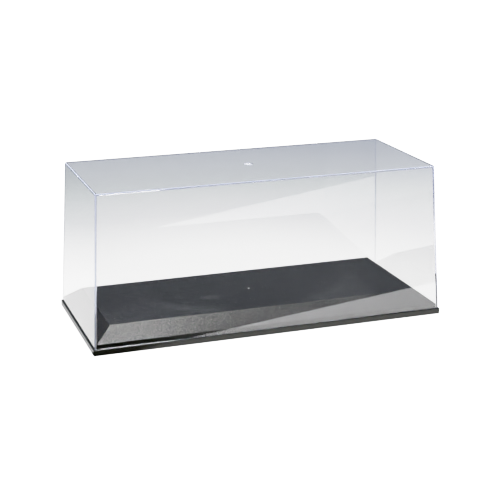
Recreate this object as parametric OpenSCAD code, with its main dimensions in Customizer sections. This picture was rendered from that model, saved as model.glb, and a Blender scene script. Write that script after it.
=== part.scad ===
// Display case for a scale model car: a clear hood of one moulding stands over
// a black base of one moulding. The hood lifts straight off.
// Millimetres, +Z up, X along the length, Y towards the back. The origin is the
// middle of the surface that the base stands on.

/* [Base] */
// Length of the base over its lip
base_l = 330; // [200:1:480]
// Width of the base over its lip
base_w = 142; // [100:1:260]
// Height of the lip that runs round the base
lip_h = 5.2; // [4:0.1:9]
// Corner radius of the lip, seen from above
lip_corner_r = 1; // [0.4:0.1:3]
// Thickness of the base's wall everywhere
base_wall = 2.4; // [1.6:0.1:3.2]
// Height of the upright step that the hood is guided by
step_h = 3.9; // [2:0.1:6]
// Rise of the sloping border from the step to the raised floor
border_rise = 11.6; // [7:0.1:20]
// Run of the sloping border at the two ends
border_run_end = 15.6; // [9:0.1:24]
// Run of the sloping border at the front and the back
border_run_side = 14.4; // [9:0.1:24]

/* [Ribs under the floor] */
// Number of ribs that run across the base
ribs_across = 5; // [1:1:9]
// Number of ribs that run along the base
ribs_along = 2; // [1:1:3]
// Thickness of a rib
rib_t = 1.6; // [1:0.1:2.4]
// Depth of a rib below the floor
rib_h = 3.6; // [2:0.1:3.9]
// Diameter of the round pad where two ribs cross, for an ejector pin
pad_d = 7; // [4:0.5:10]

/* [Hood] */
// Height of the hood from its rim to its top
hood_h = 135.5; // [60:0.5:220]
// Wall thickness of the hood
hood_wall = 1.5; // [1.2:0.1:3]
// Draft of the two end walls, in degrees from upright
draft_end = 2.8; // [0.5:0.1:3.5]
// Draft of the front and back walls, in degrees from upright
draft_side = 2.9; // [0.5:0.1:3.5]
// Radius of the outer edges round the hood's top
top_edge_r = 0.6; // [0.3:0.1:1.1]

/* [Fit of the hood on the base] */
// Width of the ledge left showing outside the hood
ledge_show = 1.2; // [0.6:0.1:4]
// Clearance between the hood's rim and the step, on each side
hood_clearance = 0.4; // [0.2:0.05:1]

/* [Gate marks] */
// Diameter of the shallow well round the hood's gate mark
well_d = 8.6; // [6:0.1:14]
// Depth of that well
well_depth = 0.5; // [0.2:0.05:0.6]
// Diameter of the trimmed gate stub inside the well
stub_d = 3; // [1.5:0.1:4]
// Diameter of the gate pip in the middle of the raised floor
pip_d = 1.4; // [0.8:0.1:3]
// Height of that pip
pip_h = 0.3; // [0.1:0.05:0.5]

/* [Hidden] */
// Extra depth of a cut past the face that it opens
cut = 1;
// How far a piece that is fused to a wall reaches into it
weld = 0.6;
fine = 64;
// Flats that make up each rounded top edge of the hood
edge_steps = 6;
inner_edge_r = 0.4;
ledge_w = ledge_show + hood_wall + hood_clearance;
// Half sizes of the step's outline and of the raised floor
step_x = base_l / 2 - ledge_w;
step_y = base_w / 2 - ledge_w;
step_z = lip_h + step_h;
floor_z = step_z + border_rise;
// Half sizes of the hood's outline at its rim
rim_x = base_l / 2 - ledge_show;
rim_y = base_w / 2 - ledge_show;
stub_h = well_depth - 0.1;

// Rectangle with round corners, centred, from its half sizes
module round_rectangle(half_x, half_y, r) {
    square([2 * half_x, 2 * (half_y - r)], center = true);
    square([2 * (half_x - r), 2 * half_y], center = true);
    for (x = [-1, 1], y = [-1, 1]) {
        translate([x * (half_x - r), y * (half_y - r)])
            circle(r = r, $fn = fine);
    }
}

// One side of the raised body's section: upright step, then the sloping border.
// The result is [half width, height] at the foot, the shoulder and the floor,
// drawn in by the given inset at right angles to each face.
function section_points(half, run, inset) =
    let (
        slope = norm([run, border_rise]),
        normal_x = border_rise / slope,
        normal_z = run / slope,
        line = normal_x * half + normal_z * step_z - inset,
        foot = half - inset,
        top = floor_z - inset
    )
    [
        [foot, 0],
        [foot, (line - normal_x * foot) / normal_z],
        [(line - normal_z * top) / normal_x, top]
    ];

// The whole section, mirrored about its middle
module raised_section(half, run, inset, below) {
    p = section_points(half, run, inset);
    polygon([
        [-p[0].x, -below], [-p[1].x, p[1].y], [-p[2].x, p[2].y],
        [p[2].x, p[2].y], [p[1].x, p[1].y], [p[0].x, -below]
    ]);
}

// Extrusion of an upright section along Y, centred
module along_y(length) {
    rotate([90, 0, 0])
        linear_extrude(height = length, center = true)
            children();
}

// Extrusion of an upright section along X, centred
module along_x(length) {
    rotate([90, 0, 90])
        linear_extrude(height = length, center = true)
            children();
}

// Step, mitred sloping border and raised floor as one block
module raised_body(inset = 0, below = 0) {
    intersection() {
        along_y(base_w)
            raised_section(step_x, border_run_end, inset, below);
        along_x(base_l)
            raised_section(step_y, border_run_side, inset, below);
    }
}

// Hollow of the base: under the ledge, and under the raised body
module base_hollow() {
    translate([0, 0, -cut])
        linear_extrude(height = cut + lip_h - base_wall)
            square([base_l - 2 * base_wall, base_w - 2 * base_wall], center = true);
    raised_body(base_wall, cut);
}

// Ribs and ejector pads that hang below the raised floor
module floor_ribs() {
    under = floor_z - base_wall;
    depth = rib_h + weld;
    inner_x = section_points(step_x, border_run_end, base_wall)[2].x;
    inner_y = section_points(step_y, border_run_side, base_wall)[2].x;
    xs = [for (i = [1:ribs_across]) inner_x * (2 * i / (ribs_across + 1) - 1)];
    ys = [for (i = [1:ribs_along]) inner_y * (2 * i / (ribs_along + 1) - 1)];
    intersection() {
        raised_body(base_wall - weld);
        translate([0, 0, under - rib_h]) {
            for (x = xs) {
                translate([x - rib_t / 2, -base_w / 2, 0])
                    cube([rib_t, base_w, depth]);
            }
            for (y = ys) {
                translate([-base_l / 2, y - rib_t / 2, 0])
                    cube([base_l, rib_t, depth]);
            }
            for (x = xs, y = ys) {
                translate([x, y, 0])
                    cylinder(d = pad_d, h = depth, $fn = fine);
            }
        }
    }
}

module base() {
    color("#232428") {
        difference() {
            union() {
                linear_extrude(height = lip_h)
                    round_rectangle(base_l / 2, base_w / 2, lip_corner_r);
                raised_body();
            }
            base_hollow();
        }
        floor_ribs();
        translate([0, 0, floor_z - weld])
            cylinder(d = pip_d, h = weld + pip_h, $fn = fine);
    }
}

// Half width of a drafted wall's face at a height above the rim
function wall_at(half, draft, height) = half - height * tan(draft);

// Points of a small arc, from its start angle up to straight up
function edge_arc(centre, r, start) =
    [for (i = [0:edge_steps])
        let (a = start + (90 - start) * i / edge_steps)
        centre + r * [cos(a), sin(a)]];

// Upright section of the hood with drafted sides and round top corners.
// "below" carries the sides on past the rim at the same draft.
module hood_section(half, draft, height, r, below) {
    low = wall_at(half, draft, -below);
    centre_z = height - r;
    centre_x = wall_at(half, draft, centre_z) - r / cos(draft);
    right_side = concat([[low, -below]], edge_arc([centre_x, centre_z], r, draft));
    steps = len(right_side);
    left_side = [for (i = [1:steps]) [-right_side[steps - i].x, right_side[steps - i].y]];
    polygon(concat(right_side, left_side));
}

// Drafted block that the hood's outside and inside are both made from
module drafted_block(inset, r, below) {
    height = hood_h - inset;
    intersection() {
        along_y(base_w + 2 * below)
            hood_section(rim_x - inset / cos(draft_end), draft_end, height, r, below);
        along_x(base_l + 2 * below)
            hood_section(rim_y - inset / cos(draft_side), draft_side, height, r, below);
    }
}

module hood() {
    color([0.86, 0.9, 0.98, 0.35])
        translate([0, 0, lip_h]) {
            difference() {
                drafted_block(0, top_edge_r, 0);
                drafted_block(hood_wall, inner_edge_r, cut);
                translate([0, 0, hood_h - well_depth])
                    cylinder(d = well_d, h = well_depth + cut, $fn = fine);
            }
            translate([0, 0, hood_h - well_depth - weld])
                cylinder(d = stub_d, h = weld + stub_h, $fn = fine);
        }
}

base();
hood();
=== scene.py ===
import math

import bmesh
import bpy
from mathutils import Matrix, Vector


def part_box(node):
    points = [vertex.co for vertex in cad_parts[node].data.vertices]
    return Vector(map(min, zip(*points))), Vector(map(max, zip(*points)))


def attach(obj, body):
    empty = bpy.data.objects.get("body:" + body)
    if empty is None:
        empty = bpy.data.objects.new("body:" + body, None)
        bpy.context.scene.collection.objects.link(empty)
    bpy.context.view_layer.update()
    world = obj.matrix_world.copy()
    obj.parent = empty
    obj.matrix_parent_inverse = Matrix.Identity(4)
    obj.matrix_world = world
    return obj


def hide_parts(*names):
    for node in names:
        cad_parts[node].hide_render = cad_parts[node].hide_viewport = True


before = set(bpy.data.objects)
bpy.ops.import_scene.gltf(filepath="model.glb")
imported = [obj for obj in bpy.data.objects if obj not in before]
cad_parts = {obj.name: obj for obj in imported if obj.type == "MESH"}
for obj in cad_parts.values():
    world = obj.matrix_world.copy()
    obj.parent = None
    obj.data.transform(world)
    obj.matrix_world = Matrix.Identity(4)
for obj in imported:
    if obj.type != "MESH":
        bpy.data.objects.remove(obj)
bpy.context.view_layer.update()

# ---------------------------------------------------------------------------
# Base shell. One black polystyrene injection moulding: a lip that stands on the
# table, a ledge for the hood, an upright step, a mitred sloping border and a
# raised floor. It is a shell of even wall, so its underside is hollow.
# ---------------------------------------------------------------------------
MM = 0.001
base_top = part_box("base")[1]
base_wall = 2.4 * MM
lip_x, lip_y = base_top.x, base_top.y
lip_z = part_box("hood")[0].z
ledge_width = 3.1 * MM
step_x, step_y = lip_x - ledge_width, lip_y - ledge_width
step_z = lip_z + 3.9 * MM
pip_height = 0.3 * MM
floor_z = base_top.z - pip_height
border_run_end, border_run_side = 15.6 * MM, 14.4 * MM
floor_x, floor_y = step_x - border_run_end, step_y - border_run_side
lip_corner, step_corner, floor_corner, inner_corner = 1.0 * MM, 0.4 * MM, 0.3 * MM, 0.3 * MM
lip_foot_radius, lip_top_radius, inner_foot_radius = 0.3 * MM, 0.4 * MM, 0.4 * MM
edge_radius = 0.3 * MM
middle_share = 0.5


def plan_ring(half_x, half_y, corner, z, corner_steps=6):
    """Points round a rectangle with round corners, anticlockwise from above."""
    points = []
    for quarter, (side_x, side_y) in enumerate(((1, 1), (-1, 1), (-1, -1), (1, -1))):
        for i in range(corner_steps + 1):
            turn = math.radians(90 * (quarter + i / corner_steps))
            x = side_x * (half_x - corner) + corner * math.cos(turn)
            y = side_y * (half_y - corner) + corner * math.sin(turn)
            points.append(Vector((x, y, z)))
    return points


def soften(profile, steps=3, most_share=0.45):
    """Rounds a profile's corners. A point is (half x, half y, corner, z, edge radius).

    A rounding takes at most the given share of the way to the next point.
    """
    soft = [profile[0][:4]]
    for before, here, after in zip(profile, profile[1:], profile[2:]):
        radius = here[4]
        ends = []
        for other in (before, after):
            reach = math.dist((here[0], here[1], here[3]), (other[0], other[1], other[3]))
            share = min(most_share, radius / reach)
            ends.append([h + (o - h) * share for h, o in zip(here[:4], other[:4])])
        for i in range(steps + 1):
            t = i / steps
            soft.append(tuple((1 - t) ** 2 * a + 2 * t * (1 - t) * h + t * t * b
                              for a, h, b in zip(ends[0], here[:4], ends[1])))
    soft.append(profile[-1][:4])
    return soft


def closed_skin(bm, rings):
    """Quads from ring to ring and a cap at each end, facing outwards.

    Returns the faces of each band and the cap of the last ring.
    """
    made = [[bm.verts.new(point) for point in ring] for ring in rings]
    bands = []
    for low, high in zip(made, made[1:]):
        count = len(low)
        bands.append([bm.faces.new((low[i], low[(i + 1) % count], high[(i + 1) % count], high[i]))
                      for i in range(count)])
    bm.faces.new(reversed(made[0]))
    last_cap = bm.faces.new(made[-1])
    bmesh.ops.recalc_face_normals(bm, faces=bm.faces)
    return bands, last_cap


def keep_mesh(bm, name):
    """Turns the working mesh into a kept one."""
    mesh = bpy.data.meshes.new(name)
    bm.to_mesh(mesh)
    bm.free()
    return mesh


def add_object(name, data):
    """A new object in the scene."""
    made = bpy.data.objects.new(name, data)
    bpy.context.scene.collection.objects.link(made)
    return made


def inside_of_border(half, run):
    """The wall's inner corners along the border: the shoulder's height and the floor's half size."""
    rise = floor_z - step_z
    slope = math.hypot(run, rise)
    normal_out, normal_up = rise / slope, run / slope
    inner_line = normal_out * half + normal_up * step_z - base_wall
    shoulder_z = (inner_line - normal_out * (half - base_wall)) / normal_up
    floor_half = (inner_line - normal_up * (floor_z - base_wall)) / normal_out
    return shoulder_z, floor_half


end_shoulder_z, under_x = inside_of_border(step_x, border_run_end)
side_shoulder_z, under_y = inside_of_border(step_y, border_run_side)
shoulder_z = (end_shoulder_z + side_shoulder_z) / 2
under_z = floor_z - base_wall
ledge_under_z = lip_z - base_wall
inner_step_x, inner_step_y = step_x - base_wall, step_y - base_wall
inner_lip_x, inner_lip_y = lip_x - base_wall, lip_y - base_wall
inside = [
    (under_x * middle_share, under_y * middle_share, inner_corner, under_z, 0),
    (under_x, under_y, inner_corner, under_z, edge_radius),
    (inner_step_x, inner_step_y, inner_corner, shoulder_z, edge_radius),
    (inner_step_x, inner_step_y, inner_corner, ledge_under_z, edge_radius),
    (inner_lip_x, inner_lip_y, inner_corner, ledge_under_z, edge_radius),
    (inner_lip_x, inner_lip_y, inner_corner, 0, inner_foot_radius),
]
outside = [
    (lip_x, lip_y, lip_corner, 0, lip_foot_radius),
    (lip_x, lip_y, lip_corner, lip_z, lip_top_radius),
    (step_x, step_y, step_corner, lip_z, edge_radius),
    (step_x, step_y, step_corner, step_z, edge_radius),
    (floor_x, floor_y, floor_corner, floor_z, edge_radius),
    (floor_x * middle_share, floor_y * middle_share, floor_corner, floor_z, 0),
]
bm = bmesh.new()
bands = closed_skin(bm, [plan_ring(*point) for point in soften(inside + outside)])[0]

# Only the small faces of the rounded edges are shaded smooth. The bands past the lip's
# foot are the outside of the shell.
largest_round_face = 90 * MM * MM
flat_normal = 0.999
floor_edge_z = floor_z - 0.4 * MM
least_slope, most_slope = 0.5, 0.95
inner_bands = len(soften(inside + outside[:1]))
outer_faces = {face for band in bands[inner_bands:] for face in band}
smooth_face, grained_face, lip_face, under_face = range(4)
for face in bm.faces:
    face.smooth = face.calc_area() < largest_round_face and abs(face.normal.z) < flat_normal
    height = face.calc_center_median().z
    if height > floor_edge_z and face.normal.z > 0:
        face.material_index = smooth_face
    elif height > step_z and least_slope < face.normal.z < most_slope:
        face.material_index = grained_face
    elif face in outer_faces:
        face.material_index = lip_face
    else:
        face.material_index = under_face
base_mesh = keep_mesh(bm, "base_moulding")
base_moulding = add_object("base_moulding", base_mesh)


def new_material(name):
    """A material with one Principled shader. Returns both."""
    material = bpy.data.materials.new(name)
    material.use_nodes = True
    return material, material.node_tree.nodes["Principled BSDF"]


def node(tree, kind, **settings):
    """Adds a node of one kind, with its settings."""
    made = tree.nodes.new(kind)
    for name, value in settings.items():
        setattr(made, name, value)
    return made


def wire(value, socket):
    """Gives a socket its value, which is another socket or a plain value."""
    if isinstance(value, bpy.types.NodeSocket):
        socket.id_data.links.new(value, socket)
    else:
        socket.default_value = value


def noise(tree, scale, detail):
    """Noise that is fixed to the piece."""
    made = node(tree, "ShaderNodeTexNoise")
    wire(node(tree, "ShaderNodeTexCoord").outputs["Object"], made.inputs["Vector"])
    wire(scale, made.inputs["Scale"])
    wire(detail, made.inputs["Detail"])
    return made


black = (0.006, 0.006, 0.006, 1)
dulled_ior = 1.40


def black_plastic(name, roughness, grain_height, grain_scale=900, colour=black):
    """Black polystyrene with a noise bump for the grain of the mould. A low IOR dulls its shine."""
    material, shader = new_material(name)
    tree = material.node_tree
    wire(colour, shader.inputs["Base Color"])
    wire(dulled_ior, shader.inputs["IOR"])
    wire(roughness, shader.inputs["Roughness"])
    bump = node(tree, "ShaderNodeBump")
    wire(noise(tree, grain_scale, detail=3).outputs["Fac"], bump.inputs["Height"])
    wire(grain_height, bump.inputs["Distance"])
    wire(1, bump.inputs["Strength"])
    wire(bump.outputs["Normal"], shader.inputs["Normal"])
    return material


def add_painted_glints(material):
    """A fine speckle of paler and darker base colour on the border: painted glints that stand in for the
    grain catching the light.
    """
    tree = material.node_tree
    painted_glint = node(tree, "ShaderNodeValToRGB")
    wire(noise(tree, scale=1050, detail=2).outputs["Fac"], painted_glint.inputs["Fac"])
    dull, bright = painted_glint.color_ramp.elements
    dull.position, dull.color = 0.42, (0.002, 0.002, 0.002, 1)
    bright.position, bright.color = 0.66, (0.068, 0.06, 0.058, 1)
    wire(painted_glint.outputs["Color"], tree.nodes["Principled BSDF"].inputs["Base Color"])


def tree_of(*values):
    """The tree of the first value that is a socket."""
    return next(value.id_data for value in values if isinstance(value, bpy.types.NodeSocket))


def maths(operation, a, b=0.0):
    """One sum on two values, of which at least one is a socket."""
    made = node(tree_of(a, b), "ShaderNodeMath", operation=operation)
    wire(a, made.inputs[0])
    wire(b, made.inputs[1])
    return made.outputs["Value"]


def product(value, *others):
    """All the values multiplied together. The first is a socket."""
    for other in others:
        value = maths("MULTIPLY", value, other)
    return value


def fade(value, start, end):
    """Smoothly from 0 at the start to 1 at the end."""
    made = node(value.id_data, "ShaderNodeMapRange", interpolation_type="SMOOTHSTEP")
    wire(value, made.inputs["Value"])
    wire(start, made.inputs["From Min"])
    wire(end, made.inputs["From Max"])
    return made.outputs["Result"]


def oval(x, y, middle, half_size):
    """How far out a point is in an oval, from 0 in its middle to 1 at its outline."""
    across = maths("DIVIDE", maths("SUBTRACT", x, middle[0]), half_size[0])
    along = maths("DIVIDE", maths("SUBTRACT", y, middle[1]), half_size[1])
    return maths("SQRT", maths("ADD", maths("POWER", across, 2), maths("POWER", along, 2)))


def add_paler_floor_patches(material):
    """Faint paler patches in the floor's base colour: two curved bands and some blots."""
    tree = material.node_tree
    waver_reach = 6 * MM
    waver = noise(tree, scale=90, detail=4)
    wavy = node(tree, "ShaderNodeVectorMath", operation="MULTIPLY_ADD")
    wire(waver.outputs["Color"], wavy.inputs[0])
    wire((waver_reach, waver_reach, 0), wavy.inputs[1])
    wire(node(tree, "ShaderNodeTexCoord").outputs["Object"], wavy.inputs[2])
    place = node(tree, "ShaderNodeSeparateXYZ")
    wire(wavy.outputs["Vector"], place.inputs[0])
    x = maths("SUBTRACT", place.outputs[0], waver_reach / 2)
    y = maths("SUBTRACT", place.outputs[1], waver_reach / 2)

    # The two bands are parabolas that bend towards the back as they near the ends. The
    # bend is the parabola's factor, per metre.
    band_x, band_y, band_bend = 40 * MM, -46 * MM, 10.7
    band_width = 17 * MM
    band_start, band_end = (26 * MM, 60 * MM), (116 * MM, 80 * MM)
    from_gate = maths("ABSOLUTE", x)
    bent = maths("MULTIPLY", maths("POWER", maths("SUBTRACT", from_gate, band_x), 2), band_bend)
    past_band = maths("SUBTRACT", maths("ADD", bent, band_y), y)
    pale = product(fade(maths("ABSOLUTE", past_band), band_width, 0),
                   fade(from_gate, *band_start), fade(from_gate, *band_end))

    # A blot has a middle, a half size, the share of it that is at full strength, and a strength.
    blots = (
        ((-41 * MM, -13 * MM), (13 * MM, 9 * MM), 0.35, 1.0),
        ((104 * MM, 0), (9 * MM, 16 * MM), 0.3, 0.8),
        ((94 * MM, -21 * MM), (6 * MM, 4 * MM), 0.3, 0.9),
    )
    for middle, half_size, core, strength in blots:
        blot = product(fade(oval(x, y, middle, half_size), 1, core), strength)
        pale = maths("MAXIMUM", pale, blot)

    # Outside the bands the floor stays a little paler up to the front corners.
    corner_start, corner_depth, corner_strength = (40 * MM, 70 * MM), 12 * MM, 0.5
    corner_right, corner_back = (112 * MM, 106 * MM), (0, -28 * MM)
    corner = product(fade(past_band, 0, corner_depth), fade(from_gate, *corner_start),
                     fade(x, *corner_right), fade(y, *corner_back), corner_strength)
    pale = maths("MAXIMUM", pale, corner)

    # A darker ring lies in the pale front left corner.
    ring_middle, ring_radius = (-124 * MM, -32 * MM), 7.5 * MM
    ring_inside, ring_outside = (0.72, 0.9), (1.1, 0.92)
    from_ring = oval(x, y, ring_middle, (ring_radius, ring_radius))
    ring = product(fade(from_ring, *ring_inside), fade(from_ring, *ring_outside))

    # All the marks are patchy.
    patch_start, patch_end = 0.1, 0.6
    patches = fade(waver.outputs["Fac"], patch_start, patch_end)
    pale = product(pale, maths("SUBTRACT", 1, ring), patches)
    paler_black = (0.043, 0.043, 0.042, 1)
    colour = node(tree, "ShaderNodeMix", data_type="RGBA")
    wire(pale, colour.inputs["Factor"])
    wire(black, colour.inputs["A"])
    wire(paler_black, colour.inputs["B"])
    wire(colour.outputs["Result"], tree.nodes["Principled BSDF"].inputs["Base Color"])


warm_black = (0.004, 0.005, 0.001, 1)
black_smooth = black_plastic("black_smooth", roughness=0.2, grain_height=0.001 * MM)
add_paler_floor_patches(black_smooth)
black_grained = black_plastic("black_grained", roughness=0.38, grain_height=0.07 * MM, grain_scale=1300)
add_painted_glints(black_grained)
black_lip = black_plastic("black_lip", roughness=0.3, grain_height=0.004 * MM, colour=warm_black)
black_satin = black_plastic("black_satin", roughness=0.5, grain_height=0.01 * MM)
for finish in (black_smooth, black_grained, black_lip, black_satin):
    base_mesh.materials.append(finish)
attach(base_moulding, "base")
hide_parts("base")

# ---------------------------------------------------------------------------
# Ribs and ejector pads. Moulded with the base, they stiffen the raised floor from
# below; the ejector pins pushed on the round pads and left a dish in each.
# ---------------------------------------------------------------------------
rib_thickness, rib_foot, rib_depth = 1.6 * MM, 1.3 * MM, 3.6 * MM
ribs_across, ribs_along = 5, 2
pad_radius, pad_taper = 3.5 * MM, 0.1 * MM
dish_radius, dish_depth = 2.7 * MM, 0.15 * MM
weld = 0.3 * MM
rib_low, rib_high = under_z - rib_depth, under_z + weld
end_spread = rib_depth * border_run_end / (floor_z - step_z)
side_spread = rib_depth * border_run_side / (floor_z - step_z)
rib_gap_x = 2 * under_x / (ribs_across + 1)
rib_gap_y = 2 * under_y / (ribs_along + 1)


def rib(name, foot_x, foot_y, root_x, root_y):
    """One rib, from the half sizes of its foot and of its root at the floor."""
    bm = bmesh.new()
    corners = ((1, 1), (-1, 1), (-1, -1), (1, -1))
    foot = [Vector((foot_x * x, foot_y * y, rib_low)) for x, y in corners]
    root = [Vector((root_x * x, root_y * y, rib_high)) for x, y in corners]
    closed_skin(bm, [foot, root])
    return keep_mesh(bm, name)


def round_post(name, profile, sides):
    """A turned post from (radius, z) points, closed at both ends."""
    bm = bmesh.new()
    turns = [math.tau * i / sides for i in range(sides)]
    closed_skin(bm, [[Vector((radius * math.cos(turn), radius * math.sin(turn), z)) for turn in turns]
                     for radius, z in profile])
    return keep_mesh(bm, name)


# One item's mesh is set out in columns and rows.
set_out = bpy.data.node_groups.new("set_out_in_rows", "GeometryNodeTree")
inputs = {"Geometry": "NodeSocketGeometry", "Columns": "NodeSocketInt", "Rows": "NodeSocketInt",
          "Length": "NodeSocketFloat", "Width": "NodeSocketFloat", "Finish": "NodeSocketMaterial"}
for name, kind in inputs.items():
    set_out.interface.new_socket(name, in_out="INPUT", socket_type=kind)
set_out.interface.new_socket("Geometry", in_out="OUTPUT", socket_type="NodeSocketGeometry")
given = node(set_out, "NodeGroupInput")
places = node(set_out, "GeometryNodeMeshGrid")
wire(given.outputs["Length"], places.inputs["Size X"])
wire(given.outputs["Width"], places.inputs["Size Y"])
wire(given.outputs["Columns"], places.inputs["Vertices X"])
wire(given.outputs["Rows"], places.inputs["Vertices Y"])
copies = node(set_out, "GeometryNodeInstanceOnPoints")
wire(places.outputs["Mesh"], copies.inputs["Points"])
wire(given.outputs["Geometry"], copies.inputs["Instance"])
solid = node(set_out, "GeometryNodeRealizeInstances")
wire(copies.outputs["Instances"], solid.inputs["Geometry"])
finished = node(set_out, "GeometryNodeSetMaterial")
wire(solid.outputs["Geometry"], finished.inputs["Geometry"])
wire(given.outputs["Finish"], finished.inputs["Material"])
wire(finished.outputs["Geometry"], node(set_out, "NodeGroupOutput").inputs["Geometry"])


def set_out_copies(mesh, columns, rows, finish):
    """The mesh that the node tree makes of one item, spread over the floor's middle."""
    item = add_object(mesh.name, mesh)
    modifier = item.modifiers.new("set_out", "NODES")
    modifier.node_group = set_out
    values = {"Columns": columns, "Rows": rows, "Length": rib_gap_x * (columns - 1),
              "Width": rib_gap_y * (rows - 1), "Finish": finish}
    for socket in set_out.interface.items_tree:
        if socket.in_out == "INPUT" and socket.name in values:
            modifier[socket.identifier] = values[socket.name]
    bpy.context.view_layer.update()
    made = bpy.data.meshes.new_from_object(item.evaluated_get(bpy.context.evaluated_depsgraph_get()))
    item.modifiers.clear()
    bpy.data.objects.remove(item)
    return made


half_root, half_foot = rib_thickness / 2, rib_foot / 2
pad_profile = [(dish_radius, rib_low + dish_depth), (dish_radius, rib_low),
               (pad_radius - pad_taper, rib_low), (pad_radius, rib_high)]
rib_items = (
    (rib("rib_across", half_foot, under_y + side_spread, half_root, under_y), ribs_across, 1),
    (rib("rib_along", under_x + end_spread, half_foot, under_x, half_root), 1, ribs_along),
    (round_post("ejector_pad", pad_profile, sides=32), ribs_across, ribs_along),
)
bm = bmesh.new()
for mesh, columns, rows in rib_items:
    bm.from_mesh(set_out_copies(mesh, columns, rows, black_satin))
rib_mesh = keep_mesh(bm, "floor_ribs")
rib_mesh.materials.append(black_satin)
floor_ribs = add_object("floor_ribs", rib_mesh)
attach(floor_ribs, "base")

# ---------------------------------------------------------------------------
# Gate pip of the base. The short stub that is left where the gate was snapped off
# in the middle of the raised floor; the break is whitened, and its pale grey also paints in the glint
# that the stub catches.
# ---------------------------------------------------------------------------
pip_radius, pip_root = 0.7 * MM, 0.1 * MM
pip_shoulder, pip_dip = 0.08 * MM, 0.03 * MM
pip_rim_share, pip_dip_share = 0.85, 0.4
level_normal = 0.9
pip_profile = [(pip_radius, floor_z - pip_root), (pip_radius, base_top.z - pip_shoulder),
               (pip_radius * pip_rim_share, base_top.z),
               (pip_radius * pip_dip_share, base_top.z - pip_dip)]
pip_mesh = round_post("gate_pip", pip_profile, sides=24)
for face in pip_mesh.polygons:
    face.use_smooth = abs(face.normal.z) < level_normal
gate_pip = add_object("gate_pip", pip_mesh)
# The break's pale grey is partly whitening and partly a painted glint.
whitened_break_and_glint, shader = new_material("whitened_break_and_glint")
wire(0.6, shader.inputs["Roughness"])
tree = whitened_break_and_glint.node_tree
break_and_glint_colour = node(tree, "ShaderNodeMix", data_type="RGBA")
wire(noise(tree, scale=3000, detail=2).outputs["Fac"], break_and_glint_colour.inputs["Factor"])
wire((0.25, 0.25, 0.25, 1), break_and_glint_colour.inputs["A"])
wire((0.60, 0.60, 0.59, 1), break_and_glint_colour.inputs["B"])
wire(break_and_glint_colour.outputs["Result"], shader.inputs["Base Color"])
pip_mesh.materials.append(whitened_break_and_glint)
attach(gate_pip, "base")

# ---------------------------------------------------------------------------
# Hood. One clear polystyrene injection moulding with drafted walls and nearly
# sharp edges. Its gate was trimmed off in a shallow round well in the middle of
# the top. It stands loose on the ledge.
# ---------------------------------------------------------------------------
hood_low, hood_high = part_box("hood")
hood_height = hood_high.z - hood_low.z
hood_wall = 1.5 * MM
draft_end, draft_side = math.radians(2.8), math.radians(2.9)
hood_corner, hood_inner_corner, patch_corner = 1.0 * MM, 0.4 * MM, 0.3 * MM
top_radius, inner_top_radius, rim_radius = 0.6 * MM, 0.4 * MM, 0.1 * MM
patch_half = 20 * MM
well_radius, well_depth = 4.3 * MM, 0.5 * MM
well_round, well_round_depth, well_taper = 0.15 * MM, 0.1 * MM, 0.05 * MM
frosted_radius = 4.0 * MM
stub_radius, stub_height = 1.5 * MM, 0.4 * MM
stub_foot, stub_chamfer, stub_chamfer_in = 0.1 * MM, 0.1 * MM, 0.15 * MM


def hood_point(inset, height, corner, radius):
    """A point of the hood's section: a face of its wall at a height above the rim."""
    x = hood_high.x - inset / math.cos(draft_end) - height * math.tan(draft_end)
    y = hood_high.y - inset / math.cos(draft_side) - height * math.tan(draft_side)
    return x, y, corner, hood_low.z + height, radius


def round_ring(radius, z, like):
    """A circle of evenly spread points, as many as another ring has and in step with it."""
    count = len(like)
    start = math.atan2(like[0].y, like[0].x)
    turns = [start + math.tau * i / count for i in range(count)]
    return [Vector((radius * math.cos(turn), radius * math.sin(turn), z)) for turn in turns]


ceiling = hood_height - hood_wall
hood_profile = [
    (patch_half, patch_half, patch_corner, hood_low.z + ceiling, 0),
    hood_point(hood_wall, ceiling, hood_inner_corner, inner_top_radius),
    hood_point(hood_wall, 0, hood_inner_corner, rim_radius),
    hood_point(0, 0, hood_corner, rim_radius),
    hood_point(0, hood_height, hood_corner, top_radius),
    (patch_half, patch_half, patch_corner, hood_high.z, 0),
]
hood_rings = [plan_ring(*point) for point in soften(hood_profile, steps=5)]
well_profile = (
    (well_radius + well_round, 0),
    (well_radius, well_round_depth),
    (well_radius - well_taper, well_depth),
    (frosted_radius, well_depth),
    (stub_radius + stub_foot, well_depth),
    (stub_radius, well_depth - stub_height + stub_chamfer),
    (stub_radius - stub_chamfer_in, well_depth - stub_height),
)
top_patch = hood_rings[-1]
for radius, depth in well_profile:
    hood_rings.append(round_ring(radius, hood_high.z - depth, top_patch))
bm = bmesh.new()
bands, stub_top = closed_skin(bm, hood_rings)

# The outer radii are pale lavender and half frosted: painted light that stands in for the light the walls
# pipe to their edges. The well's floor and the stub have a finish of their own.
polished_face, trimmed_face, piped_light_face = range(3)
skin_depth = 0.2 * MM
rim_top = hood_low.z + 0.5 * MM
for face in bm.faces:
    face.smooth = face.calc_area() < largest_round_face and abs(face.normal.z) < flat_normal
    middle = face.calc_center_median()
    limit_x, limit_y = hood_point(skin_depth, middle.z - hood_low.z, 0, 0)[:2]
    on_side = abs(middle.x) > limit_x or abs(middle.y) > limit_y
    on_top = middle.z > hood_high.z - top_radius
    if face.smooth and middle.z > rim_top and (on_side or on_top):
        face.material_index = piped_light_face
well_side_bands, trimmed_bands = bands[-6:-3], bands[-3:]
for band in well_side_bands:
    for face in band:
        face.material_index = polished_face
for band in trimmed_bands:
    for face in band:
        face.material_index = trimmed_face
stub_top.material_index = trimmed_face
hood_mesh = keep_mesh(bm, "clear_hood")
clear_hood = add_object("clear_hood", hood_mesh)
polystyrene_ior = 1.59


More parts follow.
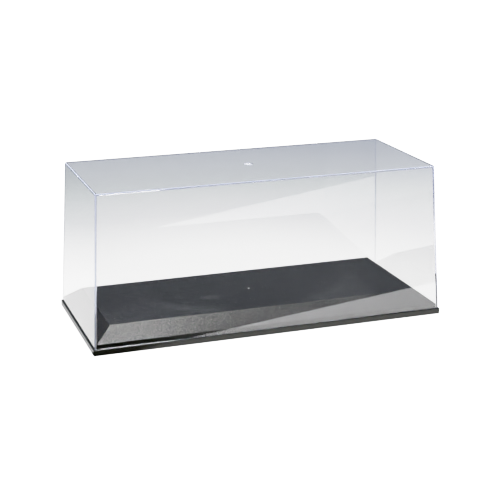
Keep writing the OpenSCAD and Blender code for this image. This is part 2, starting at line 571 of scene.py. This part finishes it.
def clear_plastic(name, colour, roughness, see_through):
    """Clear polystyrene, whose long light paths turn slightly violet."""
    material, shader = new_material(name)
    wire(colour, shader.inputs["Base Color"])
    wire(roughness, shader.inputs["Roughness"])
    wire(polystyrene_ior, shader.inputs["IOR"])
    wire(see_through, shader.inputs["Transmission Weight"])
    tint = node(material.node_tree, "ShaderNodeVolumeAbsorption")
    wire((0.5, 0.54, 0.88, 1), tint.inputs["Color"])
    wire(1.5, tint.inputs["Density"])
    wire(tint.outputs["Volume"], material.node_tree.nodes["Material Output"].inputs["Volume"])
    return material


no_colour, piped_light_lavender = (1, 1, 1, 1), (0.78, 0.83, 1.0, 1)
clear_polished = clear_plastic("clear_polished", no_colour, roughness=0.0, see_through=1.0)
trimmed_gate, shader = new_material("trimmed_gate")
wire((0.62, 0.63, 0.68, 1), shader.inputs["Base Color"])
wire(0.75, shader.inputs["Roughness"])
wire(polystyrene_ior, shader.inputs["IOR"])
wire(0.75, shader.inputs["Transmission Weight"])
# Painted piped light: pale lavender and half frosted, the radii show as light lavender lines without the
# light that the walls would pipe to them.
radius_piped_light = clear_plastic("radius_piped_light", piped_light_lavender, roughness=0.8, see_through=0.6)
for finish in (clear_polished, trimmed_gate, radius_piped_light):
    hood_mesh.materials.append(finish)
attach(clear_hood, "hood")
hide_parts("hood")

# ---------------------------------------------------------------------------
# Studio floor. Paper that glows instead of being lit, pure white where it is looked at
# directly. Its other tones are painted light: as the case shows it, it grows darker up to
# about 0.8 m away, and in a first mirror image a painted glow lies just in front of the case
# and the paper ends along a slanting line in front of the case.
# ---------------------------------------------------------------------------
floor_reach = 12.0
floor_drop = 0.2 * MM
pure_white = (3.0, 3.0, 3.0, 1)
floor_mesh = bpy.data.meshes.new("floor")
floor_mesh.from_pydata([(-floor_reach, -floor_reach, 0), (floor_reach, -floor_reach, 0),
                        (floor_reach, floor_reach, 0), (-floor_reach, floor_reach, 0)],
                       [], [(0, 1, 2, 3)])
floor = add_object("floor", floor_mesh)
floor.location.z = -floor_drop
paper = bpy.data.materials.new("paper_floor")
paper.use_nodes = True
tree = paper.node_tree
tree.nodes.clear()


def map_range(value, from_low, from_high, to_low=0.0, to_high=1.0):
    """Straight from one range of values to another."""
    made = node(value.id_data, "ShaderNodeMapRange")
    wire(value, made.inputs["Value"])
    wire(from_low, made.inputs["From Min"])
    wire(from_high, made.inputs["From Max"])
    wire(to_low, made.inputs["To Min"])
    wire(to_high, made.inputs["To Max"])
    return made.outputs["Result"]


def tone_ramp(value, stops):
    """A colour ramp over a value, from (value, colour) stops."""
    low, high = stops[0][0], stops[-1][0]
    ramp = node(value.id_data, "ShaderNodeValToRGB")
    wire(map_range(value, low, high), ramp.inputs["Fac"])
    elements = ramp.color_ramp.elements
    for _ in stops[2:]:
        elements.new(0.5)
    for element, (place, colour) in zip(elements, stops):
        element.position = (place - low) / (high - low)
        element.color = (*colour, 1)
    return ramp.outputs["Color"]


def blend(share, a, b, way="MIX"):
    """Two colours blended by a share. At least one of them is a socket."""
    made = node(tree_of(a, b), "ShaderNodeMix", data_type="RGBA", blend_type=way)
    wire(share, made.inputs["Factor"])
    wire(a, made.inputs["A"])
    wire(b, made.inputs["B"])
    return made.outputs["Result"]


place = node(tree, "ShaderNodeSeparateXYZ")
wire(node(tree, "ShaderNodeNewGeometry").outputs["Position"], place.inputs[0])
across, along = place.outputs[0], place.outputs[1]
from_case = maths("SQRT", maths("ADD", maths("POWER", across, 2), maths("POWER", along, 2)))
# Painted light: the paper's glow fades with the distance from the case.
painted_paper_light = tone_ramp(from_case, [
    (0.08, (1.87, 1.87, 1.84)), (0.20, (1.74, 1.74, 1.73)), (0.35, (1.15, 1.16, 1.19)),
    (0.50, (0.87, 0.91, 0.93)), (0.70, (0.56, 0.59, 0.69)), (0.78, (0.49, 0.53, 0.65)),
    (1.10, (0.62, 0.64, 0.69)), (3.00, (0.80, 0.81, 0.84))])
painted_mirrored_light = tone_ramp(from_case, [
    (0.10, (1.85, 1.85, 1.84)), (0.25, (1.66, 1.65, 1.65)),
    (0.45, (0.75, 0.78, 0.80)), (0.70, (0.38, 0.42, 0.43))])
sheet_slant, sheet_y, sheet_blur = -0.324, -0.1135, 0.001
glow_front, glow_back, glow_tone = -0.075, 0.0, 2.75
sheet_edge = maths("ADD", maths("MULTIPLY", across, sheet_slant), sheet_y)
on_sheet = map_range(maths("SUBTRACT", along, sheet_edge), -sheet_blur, sheet_blur)
front_glow = map_range(along, glow_front, glow_back, glow_tone, 0.0)
mirrored_sheet = blend(1.0, painted_mirrored_light, front_glow, "LIGHTEN")
mirrored_tone = blend(on_sheet, (0.0, 0.0, 0.0, 1), mirrored_sheet)
ray = node(tree, "ShaderNodeLightPath")
first_mirror = maths("COMPARE", ray.outputs["Glossy Depth"], 1)
seen_tone = blend(first_mirror, painted_paper_light, mirrored_tone)
glow = node(tree, "ShaderNodeEmission")
wire(blend(ray.outputs["Is Camera Ray"], seen_tone, pure_white), glow.inputs["Color"])
wire(glow.outputs["Emission"], node(tree, "ShaderNodeOutputMaterial").inputs["Surface"])
floor_mesh.materials.append(paper)

# ---------------------------------------------------------------------------
# Studio room and lamps. A soft grey room with a pale band low round it, pure white
# where it is looked at directly, and two soft boxes that shine straight down.
# ---------------------------------------------------------------------------
world = bpy.data.worlds.new("studio")
bpy.context.scene.world = world
world.use_nodes = True
tree = world.node_tree
direction = node(tree, "ShaderNodeSeparateXYZ")
wire(node(tree, "ShaderNodeTexCoord").outputs["Generated"], direction.inputs[0])
room_tone = tone_ramp(direction.outputs[2], [
    (0.10, (0.10, 0.10, 0.12)), (0.22, (0.49, 0.52, 0.56)), (0.27, (0.41, 0.43, 0.465)),
    (0.30, (0.38, 0.40, 0.42)), (0.325, (0.28, 0.30, 0.325)),
    (0.39, (0.30, 0.34, 0.44)), (0.55, (0.08, 0.16, 0.30)), (1.0, (0.10, 0.25, 0.38))])
ray = node(tree, "ShaderNodeLightPath")
wire(blend(ray.outputs["Is Camera Ray"], room_tone, pure_white), tree.nodes["Background"].inputs["Color"])


def soft_box(name, place, width, depth, power):
    """An area light that shines straight down."""
    light = bpy.data.lights.new(name, "AREA")
    light.shape = "RECTANGLE"
    light.size, light.size_y = width, depth
    light.energy = power
    add_object(name, light).location = place


soft_box("overhead_box", place=(-0.05, 0.0, 1.0), width=0.3, depth=0.8, power=31.5)
soft_box("fill_box", place=(0.36, 0.0, 1.0), width=0.4, depth=0.8, power=6)

# ---------------------------------------------------------------------------
# Camera and tones. The camera stands to the left of the front and looks down on
# the case. The tone curve keeps the brightest whites apart, and the light may
# pass through all the hood's walls before it is given up.
# ---------------------------------------------------------------------------
view_turn, view_drop = math.radians(19.335), math.radians(16.976)
view_distance = 1160.1 * MM
aim = Vector((-7.006, -24.2, 66.035)) * MM
forward = Vector((math.sin(view_turn) * math.cos(view_drop),
                  math.cos(view_turn) * math.cos(view_drop), -math.sin(view_drop)))
lens = bpy.data.cameras.new("camera")
lens.lens = 91.48
camera = add_object("camera", lens)
camera.location = aim - forward * view_distance
camera.rotation_euler = forward.to_track_quat("-Z", "Y").to_euler()
bpy.context.scene.camera = camera
view = bpy.context.scene.view_settings
view.view_transform = "Standard"
view.use_curve_mapping = True
brightest = 2.5
view.curve_mapping.white_level = (brightest, brightest, brightest)
tone_curve = view.curve_mapping.curves[3]
for light_in, light_out in ((0.1, 0.1), (0.3, 0.3), (0.6, 0.56), (1.0, 0.78), (1.5, 0.90)):
    tone_curve.points.new(light_in / brightest, light_out)
view.curve_mapping.update()
light_paths = bpy.context.scene.cycles
light_paths.sample_clamp_indirect = 0
light_paths.glossy_bounces = 64
light_paths.transmission_bounces = 64
light_paths.max_bounces = 96
